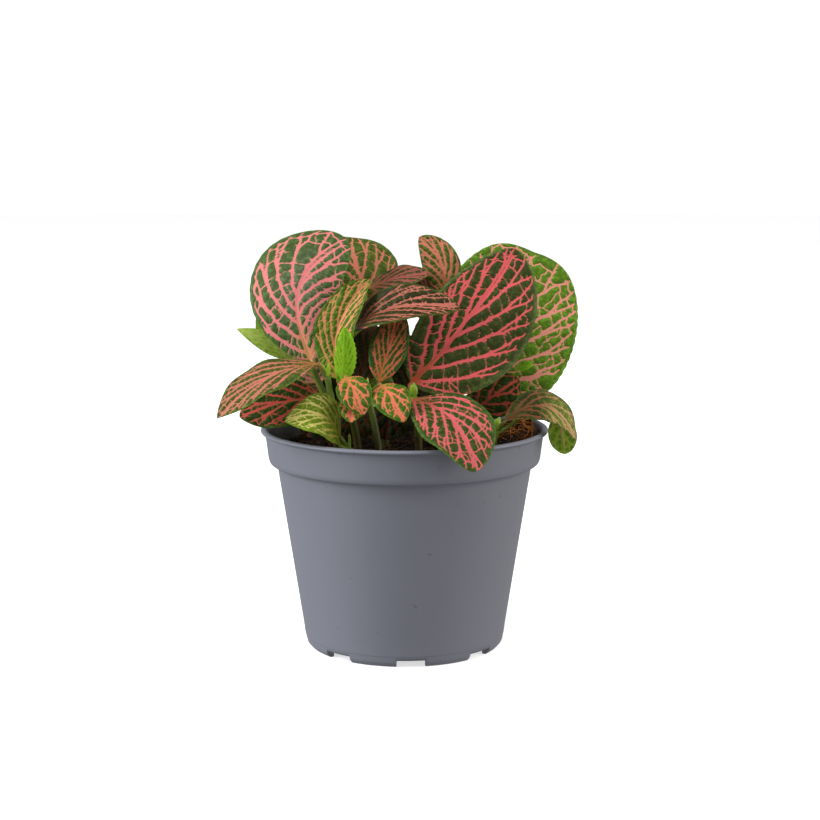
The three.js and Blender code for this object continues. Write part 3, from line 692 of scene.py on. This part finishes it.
# A petiole leaves the stem, bends into the blade's base and runs on under the midrib as a thinning
# ridge. sunk is how deep it lies below the blade, as a share of its radius and a length
def petiolePath(leaf, start):
    size = SimpleNamespace(**stemSize)
    s = np.array([0, 0.02, 0.1, 0.2, 0.35, 0.5, 0.65, 0.8, 0.9])
    rib, normal = bladeSurface(leaf, s, np.zeros(len(s)))[:2]
    gap = np.linalg.norm(rib[0] - start)
    swing = rib[0] - gap * size.swing * unit(rib[1] - rib[0])
    scale = min(1, (leaf.width / 22) ** 0.5)
    thick = scale * np.interp(s, [0, 0.2, 0.9], size.ridge)
    under = rib - normal * (size.sunk[0] * thick + size.sunk[1])[:, None]
    path = smoothPath(join([[start, swing], under[1:]]), 60)
    run = pathRun(path)
    free = min(max(gap / run[-1], 0.02), 0.6)  # The share of the path before the blade
    radius = np.interp(run / run[-1], [0, free, mixed(free, 1, 0.25), 1],
                       [size.petiole * scale, thick[0], 0.6 * scale, size.ridge[2]])
    return path, radius, free


# Adds what has no veins, in one colour or in each point's own
def putPlain(heap, points, faces, finish, tint):
    heap.put(points, faces, finish, flat=points, vein=bladeSize["clear"], lamina=tint, veinTint=tint)


# Fine hairs: each is a spike on three points, square to the path and leaning along it
def putHairs(heap, path, radius, rng, thin=1.0):
    count = int(chords(path).sum() * stemSize["hairsPerMm"] * thin)
    place = rng.uniform(0, len(path) - 1.001, count)
    low, share = place.astype(int), (place % 1)[:, None]
    tangent = unit(path[low + 1] - path[low])
    out = unit(np.cross(tangent, rng.normal(size=(count, 3))))
    across = np.cross(tangent, out)
    depth = 0.9 * np.interp(place, np.arange(len(path)), radius)
    foot = mixed(path[low], path[low + 1], share) + out * depth[:, None]
    long = stemSize["hairLength"] * rng.uniform(0.5, 1.1, (count, 1))
    tip = foot + long * unit(out + 0.25 * tangent + 0.2 * rng.normal(size=(count, 3)))
    wide = stemSize["hairWidth"] / 2
    corners = (1, 0), (-0.5, 0.87), (-0.5, -0.87)
    feet = [foot + a * wide * across + b * wide * tangent for a, b in corners]
    points = np.stack([*feet, tip], 1).reshape(-1, 3)
    sides = (0, 1, 3), (1, 2, 3), (2, 0, 3), (0, 2, 1)
    faces = join([4 * np.arange(count)[:, None] + side for side in sides])
    putPlain(heap, points, faces, 2, stemSize["hair"])


# A stem or petiole whose colour goes from lowTint to highTint between two shares of its length
def putStalk(heap, path, radius, sides, lowTint, highTint, low, high):
    points, faces, along = tube(path, radius, sides)
    tint = mixed(lowTint, highTint, smoothStep(along, low, high)[:, None])
    putPlain(heap, points, faces, 1, tint)


# One leafy stem: the stem, two small scales at its tip, and each leaf's petiole, blade and hairs
def putLeafyStem(name, stem, order):
    heap, rng, size = Heap(), np.random.default_rng(100 + order), SimpleNamespace(**stemSize)
    path = stemPath(stem)
    run = pathRun(path)
    share = run / run[-1]
    knots = np.array([leaf.start for leaf in stem.leaves])
    swell = bell((share[:, None] - knots) * run[-1], 1.6).max(1)  # Thicker where petioles leave
    radius = mixed(size.foot, size.crown, share) * (0.9 + 0.16 * swell)
    # Painted shade: the stem is darker at its foot and turns green between 35 % and 95 % of its length
    putStalk(heap, path, radius, size.sides, size.shaded, size.green, 0.35, 0.95)
    putHairs(heap, path[10:], radius[10:], rng)
    for number, leaf in enumerate(stem.leaves):
        start = np.array([np.interp(leaf.start, share, path[:, axis]) for axis in range(3)])
        stalk, thick, free = petiolePath(leaf, start)
        atBlade = mixed(leaf.look.veinBase, size.green, 0.25)
        putStalk(heap, stalk, thick, size.petioleSides, size.green, atBlade, 0.2 * free, free)
        putHairs(heap, stalk, thick, rng, 0.5)
        putBlade(heap, leaf, order * 10 + number)
    heading = unit(path[-1] - path[-4])
    around = unit(np.cross(heading, (math.cos(order), math.sin(order), 0.1)))
    for number, turn in enumerate((-1, 1)):
        tip = path[-1] + size.budLength * (heading + size.budSpread * turn * around)
        scale = blade(1, path[-1] - 0.6 * heading, tip, size.budWidth, -turn * around, "plainGreen", 0.34,
                      arch=-0.4, fold=20, wave=0)
        putBlade(heap, scale, order * 10 + 8 + number)
    return heap.make(name, finishes["leaf"], finishes["stalk"], finishes["hair"])


potSize = dict(
    rim=60, lipInner=57.3, lipDepth=1.7, height=92, bandTop=58.1, bandFoot=56.7, bandFootHeight=79.2,
    wallTop=53.05, wallTopHeight=76, wallFoot=41.2, foot=39.8, footInner=38, footChamfer=1.8, wall=1.0,
    under=4.0, base=1.2, notches=8, notchWidth=12, notchHeight=3, firstNotch=-86, notchSide=0.0006,
    drains=6, drainRing=25, drainRadius=4, sides=240, cornerSteps=5, ridgeHeight=4.6, ridge=0.14,
    dustBelow=89, dust=colour(38, 30, 22), colour=colour(119, 121, 132),
)


# The outside radius of the tapered wall at a height
def wallRadius(z):
    return mixed(potSize["wallFoot"], potSize["wallTop"], z / potSize["wallTopHeight"])


# Each corner (x, y, cut) becomes a quadratic arc that starts and ends at most cut from the corner, and
# never past 0.48 of a side. The profile is a closed loop
def roundedLoop(corners, steps):
    corners = np.array(corners, float)
    place, cut = corners[:, :2], corners[:, 2:]
    first, last = (place + side * np.minimum(cut / np.linalg.norm(side, axis=1, keepdims=True), 0.48)
                   for side in (np.roll(place, 1, 0) - place, np.roll(place, -1, 0) - place))
    u = np.linspace(0, 1, steps)[:, None, None]
    return quadratic(first, place, last, u).transpose(1, 0, 2).reshape(-1, 2)


# A profile of (radius, height) carried round the axis to each angle
def ringPoints(loop, angles):
    r, z = loop[None, :, 0], loop[None, :, 1]
    turn = angles[:, None]
    return np.stack([r * np.cos(turn), r * np.sin(turn), z + 0 * turn], -1)


# The wall is a closed loop from the foot over the lip and down the inside. It is carried round the axis,
# with doubled angles at the notches' sides, where all that lies below their height is lifted to it
def potWall():
    size = SimpleNamespace(**potSize)
    rim, lip, wall, height, baseZ = size.rim, size.lipInner, size.wall, size.height, size.under + size.base
    top, topZ, lipZ = size.wallTop, size.wallTopHeight, size.height - size.lipDepth
    bandTop, bandFoot, bandZ = size.bandTop, size.bandFoot, size.bandFootHeight
    outside = [(wallRadius(z), z, 1) for z in np.linspace(9, 70, 9)]
    loop = roundedLoop([
        (size.footInner, 0, 0.25), (size.foot, 0, 0.5), (wallRadius(size.footChamfer), size.footChamfer, 0.8),
        (wallRadius(size.ridgeHeight), size.ridgeHeight, 0.2),
        (wallRadius(size.ridgeHeight) + size.ridge, size.ridgeHeight + 0.2, 0.15), *outside,
        (top, topZ, 1.0), (top + 0.6, topZ + 1.3, 0.8), (bandFoot - 0.7, bandZ - 1.6, 1.0),
        (bandFoot, bandZ, 0.9), (bandTop, lipZ, 0.35), (rim - 0.5, lipZ + 0.1, 0.3), (rim, lipZ + 0.7, 0.5),
        (rim - 0.3, height - 0.3, 0.5), (rim - 1, height, 0.5), (lip + 0.5, height, 0.4),
        (lip, height - 0.6, 0.4), (bandTop - wall - 0.2, lipZ - 0.6, 0.4), (bandFoot - wall, bandZ + 1, 0.8),
        (bandFoot - wall - 0.9, bandZ - 0.3, 0.4), (top - 0.35, topZ + 2.3, 0.4),
        (top - wall, topZ + 0.8, 0.6), (wallRadius(baseZ + 1) - wall, baseZ + 1, 0.8),
        (wallRadius(baseZ) - wall - 1, baseZ, 0.3), (size.footInner, baseZ - 0.5, 0.2),
    ], size.cornerSteps)
    centres = math.radians(size.firstNotch) + circle(size.notches)
    halfTurn = math.asin(size.notchWidth / 2 / size.foot)
    sides = join([centres - halfTurn, centres + halfTurn])
    angles = join([circle(size.sides), sides - size.notchSide, sides + size.notchSide])
    angles = np.unique(np.round(angles % (2 * math.pi), 9))
    away = np.abs((angles[:, None] - centres + math.pi) % (2 * math.pi) - math.pi).min(1)
    points = ringPoints(loop, angles)
    z = points[..., 2]
    points[..., 2] = np.where((away < halfTurn)[:, None], np.maximum(z, size.notchHeight + 0.02 * z), z)
    faces = gridFaces(closedIndex(len(angles), len(loop)))[:, ::-1]
    fromLip = np.arange(len(loop)) > size.cornerSteps * (len(outside) + 15)
    # Painted shade: the inner wall above 20 mm is darkened up to 87.5 mm and fades out by 91 mm
    inside = fromLip & (loop[:, 1] > 20)
    dust = inside * (1 - smoothStep(loop[:, 1], size.dustBelow - 1.5, size.dustBelow + 2))
    return points, faces, np.tile(dust, len(angles))


# The base plate: six equal sectors, each with a hole. Rays run from a hole's rim to its sector's straight
# sides and to the outer circle, and the upper and lower faces are joined at the hole and at the circle
def potBase():
    size = SimpleNamespace(**potSize)
    outer, ring, half = size.footInner + 0.7, size.drainRing, math.pi / size.drains
    corner = math.atan2(outer * math.sin(half), outer * math.cos(half) - ring)
    upper = join([np.linspace(0, corner, 9), np.linspace(corner, math.pi, 17)[1:]])
    turn = join([upper, -upper[-2:0:-1]])
    dx, dy = np.cos(turn), np.sin(turn)
    toCircle = -ring * dx + np.sqrt(np.maximum(outer ** 2 - (ring * dy) ** 2, 0))
    slope = math.cos(half) * np.abs(dy) - math.sin(half) * dx
    toSide = np.where(slope > 1e-9, ring * math.sin(half) / np.maximum(slope, 1e-9), 1e9)
    away = mixed(size.drainRadius, np.minimum(toCircle, toSide)[None], np.linspace(0, 1, 5)[:, None])
    x, y = ring + away * dx, away * dy
    points, faces = [], []
    top = closedIndex(*x.shape)[:-1]
    low = top + x.size
    onCircle = np.isclose(np.hypot(x[-1], y[-1]), outer, atol=1e-6)
    walls = gridFaces(np.stack([top[-1], low[-1]])).reshape(2, -1, 3)[:, onCircle & np.roll(onCircle, -1)]
    sector = join([gridFaces(top)[:, ::-1], gridFaces(low), walls.reshape(-1, 3),
                   gridFaces(np.stack([top[0], low[0]]))[:, ::-1]])
    for k in range(size.drains):
        c, s = math.cos(2 * k * half), math.sin(2 * k * half)
        for z in (size.under + size.base, size.under):
            points.append(np.stack([c * x - s * y, s * x + c * y, np.full(x.shape, z)], -1).reshape(-1, 3))
        faces.append(sector + 2 * x.size * k)
    return welded(join(points), join(faces))


def putPot():
    heap = Heap()
    points, faces, dust = potWall()
    heap.put(points, faces, dust=dust)
    heap.put(*potBase(), dust=0.0)
    return heap.make("nursery_pot", finishes["pot"])


# A sum of sine waves in many directions, smaller as they get shorter
def lumps(x, y, seed, longest, shortest, count=48):
    rng = np.random.default_rng(seed)
    length = np.geomspace(longest, shortest, count)[:, None]
    turn, phase = rng.uniform(0, 2 * math.pi, (2, count, 1))
    waves = np.sin(2 * math.pi * (np.cos(turn) * x.ravel() + np.sin(turn) * y.ravel()) / length + phase)
    return ((waves * length).sum(0) / np.sqrt((length ** 2).sum())).reshape(x.shape)


# The soil's top with its lumps, which end at the pot's wall
def unevenTop(x, y):
    edge = smoothStep(np.hypot(x, y), soilSize["edge"] - 3, soilSize["edge"])
    rough = soilSize["rough"] * (lumps(x, y, 4, 9, 1.5) + 0.55 * lumps(x, y, 5, 2.4, 0.9))
    return soilTop(x, y) + rough * (1 - edge) - 0.8 * edge


# The soil is a closed lathe: floor, a wall clear of the pot's bends, and a top raised point by point
def putSoil():
    heap, size, rng = Heap(), SimpleNamespace(**soilSize), np.random.default_rng(12)
    inset, floor = potSize["wall"] + size.gap, size.floor
    wallTop = potSize["wallTop"] - inset
    side = [(0.2, floor), (wallRadius(floor) - inset - 1, floor), (wallRadius(6.7) - inset, 6.7),
            (wallTop, 76.6), (wallTop + 0.45, 78.7), (size.edge - 1.1, 79.3), (size.edge - 0.2, 80.7)]
    top = np.linspace(size.edge, 0.2, size.rows)
    loop = join([side, np.stack([top, np.full(len(top), size.height)], 1)])
    points = ringPoints(loop, circle(size.sides))
    points[:, len(side):, 2] = unevenTop(points[:, len(side):, 0], points[:, len(side):, 1])
    heap.put(points, gridFaces(closedIndex(size.sides, len(loop)))[:, ::-1], chip=0.0)
    # Crumbs: cubes with pushed corners, half sunk in the top
    cube = np.array([(x, y, z) for x in (-1, 1) for y in (-1, 1) for z in (-1, 1)], float)
    quads = np.array([(0, 1, 3, 2), (4, 6, 7, 5), (0, 4, 5, 1), (2, 3, 7, 6), (0, 2, 6, 4), (1, 5, 7, 3)])
    block = join([quads[:, :3], quads[:, [0, 2, 3]]])
    count = size.crumbs
    away, turn = (size.edge - 1.5) * np.sqrt(rng.uniform(size=count)), rng.uniform(0, 2 * math.pi, count)
    x, y = away * np.cos(turn), away * np.sin(turn)
    big = mixed(*size.crumbSize, rng.uniform(size=count) ** 2.5)
    shape = cube * rng.uniform(0.55, 1.0, (count, 8, 3)) * rng.uniform(0.6, 1.1, (count, 1, 3))
    turned = np.linalg.qr(rng.normal(size=(count, 3, 3)))[0]
    turned[np.linalg.det(turned) < 0] *= -1
    centre = np.stack([x, y, unevenTop(x, y) + 0.25 * big], 1)
    points = centre[:, None] + np.einsum("nij,nkj->nki", turned, shape) * (big / 1.6)[:, None, None]
    faces = block[None] + 8 * np.arange(count)[:, None, None]
    heap.put(points, faces, chip=np.repeat(rng.uniform(0.2, 0.8, count), 8))
    # Fibres: thin bent tubes that lie on the top, every other one near the mound
    s = np.linspace(-0.5, 0.5, 7)
    for k in range(size.fibres):
        away = size.fibreRing * math.sqrt(rng.uniform())
        turn, way = rng.uniform(0, 6.28, 2)
        long = rng.uniform(*size.fibreLength)
        place = np.array([math.cos(turn), math.sin(turn)]) * away
        if k % 2:
            place = size.moundAt + rng.normal(0, size.dryReach, 2)
        x = place[0] + long * s * math.cos(way) + 1.4 * np.sin(3 * s + way)
        y = place[1] + long * s * math.sin(way) + 1.2 * np.cos(4 * s + turn)
        inside = np.minimum(1, size.fibreEdge / np.hypot(x, y))
        x, y = x * inside, y * inside
        z = unevenTop(x, y) + 0.2 + rng.uniform(0, 1.2) * (1 - 4 * s ** 2)
        radius = rng.uniform(*size.fibreRadius) * (1 - 1.2 * s ** 2)
        heap.put(*tube(np.stack([x, y, z], 1), radius, 5)[:2], chip=rng.uniform(0.7, 1.0))
    return heap.make("peat", finishes["soil"])


# Leaf: the vein's share falls from 1 to 0 as the distance grows past its side. Noise moves that side and
# mottles the tissue, and the height that the bump reads is the tissue's cells and the veins' grooves
def leafFinish():
    make = Finish("leaf_tissue")
    place, tissue = make.read("flat"), make.read("lamina")
    fine, broad = make.noise(place, 2.6), make.noise(place, 0.33, 2)
    vein = make.read("vein", "Fac") + (fine - 0.5) * 0.22
    share = make.step(vein, 0.13, -0.08)
    mottle = make.step(make.noise(place, 0.55, 3, 0.6), 0.44, 0.66)
    tissue = make.blend(mottle * 0.6, tissue, make.scaled(tissue, 2.2))
    tissue = make.scaled(tissue, 0.72 + broad * 0.56)
    tint = make.scaled(make.read("veinTint"), 0.86 + make.noise(place, 0.9, 2) * 0.28)
    cells = make.add("TexVoronoi", {"feature": "SMOOTH_F1"}, {"Vector": place, "Scale": 2.2})
    height = make.step(vein, 0.0, 0.55) * 0.7 + cells * 0.35 + fine * 0.2
    tint = make.blend(share, tissue, tint)
    return make.surface(tint, 0.40 + fine * 0.16 + share * 0.06, 0.12, (height, 0.0003))


def stalkFinish():
    make = Finish("leaf_stalk")
    streak = make.noise(make.stretched(make.read("flat"), (1, 1, 0.25)), 1.6)
    tint = make.scaled(make.read("lamina"), 0.7 + streak * 0.6)
    return make.surface(tint, 0.40 + streak * 0.15, 0.35, (streak, 0.0001))


def hairFinish():
    make = Finish("leaf_hair")
    tint = make.scaled(make.read("lamina"), 0.8 + make.noise(make.read("flat"), 0.5) * 0.4)
    return make.surface(tint, 0.55, 0.5)


# Moulded plastic: faint clouds, fainter upright streaks, a few specks, and a fine grain in the bump. Painted
# shade darkens the inner wall to a peat brown above the soil
def potFinish():
    make = Finish("pot_plastic")
    place = make.place()
    clouds, grain = make.noise(place, 22), make.noise(place, 2600, 2)
    streaks = make.noise(make.stretched(place, (1, 1, 0.06)), 170)
    specks = make.step(make.noise(place, 300, 2, 0.4), 0.735, 0.76)
    tint = make.scaled(potSize["colour"], 0.93 + clouds * 0.09 + streaks * 0.05)
    tint = make.blend(specks * 0.5, tint, (0.10, 0.09, 0.085))
    # Painted shade on the inner wall, with cloudy edges and a fine grain
    dust = make.step(make.read("dust", "Fac") + clouds * 0.3, 0.25, 1.0) * (0.8 + grain * 0.2)
    tint = make.blend(dust, tint, potSize["dust"])
    return make.surface(tint, 0.43 + clouds * 0.08 + grain * 0.06, 0.42, (grain + streaks * 0.8, 0.00003))


# Peat: near black, with brown and straw in noisy shares, and each crumb or fibre has its own share of brown
# or straw. Painted shade holds the brown and straw back towards the left
def soilFinish():
    make = Finish("peat")
    place, chip = make.place(), make.read("chip", "Fac")
    broad, fine = make.noise(place, 60), make.noise(place, 900, 4, 0.65)
    # Painted shade: the soil is kept dark on the left, fading out between x = 5 mm and 35 mm
    shadeFade = make.step(make.add("SeparateXYZ", {}, {"Vector": place}), *soilSize["shadeFade"])
    brown = make.step(broad * 0.5 + fine * 0.5 + chip * 0.35, 0.42, 0.72) * (shadeFade * 0.85 + 0.15)
    straw = make.step(chip, 0.66, 0.95) * (shadeFade * 0.6 + 0.2)
    tint = make.blend(straw, make.blend(brown, soilSize["dark"], soilSize["brown"]), soilSize["straw"])
    return make.surface(tint, 0.85 + fine * 0.12, 0.2, (fine, 0.0005))


# The floor gives off some light of its own, so it stays white up to the pot's shadow
def floorFinish():
    make = Finish("studio_floor")
    tint = make.blend(make.noise(make.place(), 3), (0.86, 0.86, 0.87), (0.9, 0.9, 0.9))
    return make.surface(tint, 0.7, 0.0, glow=0.6)


def backdropFinish():
    return Finish("studio_backdrop").surface((0, 0, 0, 1), 0.5, 0.0, glow=1.05)


finishes = {"leaf": leafFinish(), "stalk": stalkFinish(), "hair": hairFinish(), "pot": potFinish(),
            "soil": soilFinish(), "floor": floorFinish(), "backdrop": backdropFinish()}
print("Made the finishes")

pot = putPot()
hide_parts("pot")
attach(pot, "root")
soil = putSoil()
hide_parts("soil")
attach(soil, "root")
for order, (node, row) in enumerate(leafyStems.items()):
    foliage = putLeafyStem(node.replace("leafy_stem", "foliage"), row, order)
    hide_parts(node)
    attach(foliage, "root")
print("Made the plant")

stageSize = dict(reach=4000, floorRings=(0, 100, 400, 1500, 4000), skirt=-0.03, domeRows=30, sides=96)


# A profile carried round the axis, hidden from the rays that are named
def putRound(name, finish, loop, *hiddenFrom):
    index = closedIndex(stageSize["sides"], len(loop))[:, :-1]
    heap, points = Heap(), ringPoints(np.array(loop, float), circle(stageSize["sides"]))
    heap.put(*welded(points.reshape(-1, 3), gridFaces(index)))
    piece = heap.make(name, finish)
    for ray in hiddenFrom:
        setattr(piece, "visible_" + ray, False)
    return piece


# Floor: a wide flat disc under the pot
def putFloor():
    loop = [(radius, 0) for radius in stageSize["floorRings"]]
    return putRound("studio_floor", finishes["floor"], loop, "diffuse", "glossy")


# Backdrop: the inside of a white dome that stands on the floor's edge. Only the camera sees it
def putBackdrop():
    rise = np.linspace(stageSize["skirt"], math.pi / 2, stageSize["domeRows"])
    loop = stageSize["reach"] * np.stack([np.cos(rise), np.sin(rise)], 1)
    return putRound("studio_backdrop", finishes["backdrop"], loop, "diffuse", "glossy", "transmission",
                    "shadow", "volume_scatter")


putFloor()
putBackdrop()

lightSettings = dict(
    left=dict(place=(-1.7, -0.42, 0.75), power=35, colour=(0.98, 0.99, 1.0)),
    right=dict(place=(1.7, -0.32, 0.7), power=20, colour=(1.0, 0.95, 0.87)),
    top=dict(place=(-0.2, -0.9, 1.9), power=14, colour=(1, 1, 1)),
    size=1.1, aim=(0, 0, 0.09), world=0.4,
)


def link(name, settings, place):
    thing = bpy.data.objects.new(name, settings)
    thing.location = place
    bpy.context.scene.collection.objects.link(thing)
    return thing


for name in ("left", "right", "top"):
    own, lamp = lightSettings[name], bpy.data.lights.new(name, "AREA")
    lamp.shape, lamp.size = "DISK", lightSettings["size"]
    lamp.energy, lamp.color = own["power"], own["colour"]
    light = link(name, lamp, own["place"])
    toPlant = Vector(lightSettings["aim"]) - light.location
    light.rotation_euler = toPlant.to_track_quat("-Z", "Y").to_euler()
world = bpy.data.worlds.new("studio")
world.use_nodes = True
sky = world.node_tree.nodes["Background"].inputs
sky["Color"].default_value, sky["Strength"].default_value = (1, 1, 1, 1), lightSettings["world"]
bpy.context.scene.world = world
bpy.context.scene.view_settings.view_transform = "Standard"

cameraSettings = dict(place=(0.0023, -0.750, 0.2146), dip=0.153, lens=79.86, sensor=36)
lens = bpy.data.cameras.new("camera")
lens.lens, lens.sensor_width = cameraSettings["lens"], cameraSettings["sensor"]
camera = link("camera", lens, cameraSettings["place"])
camera.rotation_euler = (math.pi / 2 - cameraSettings["dip"], 0, 0)
bpy.context.scene.camera = camera
print("Set the floor, the lights and the camera")
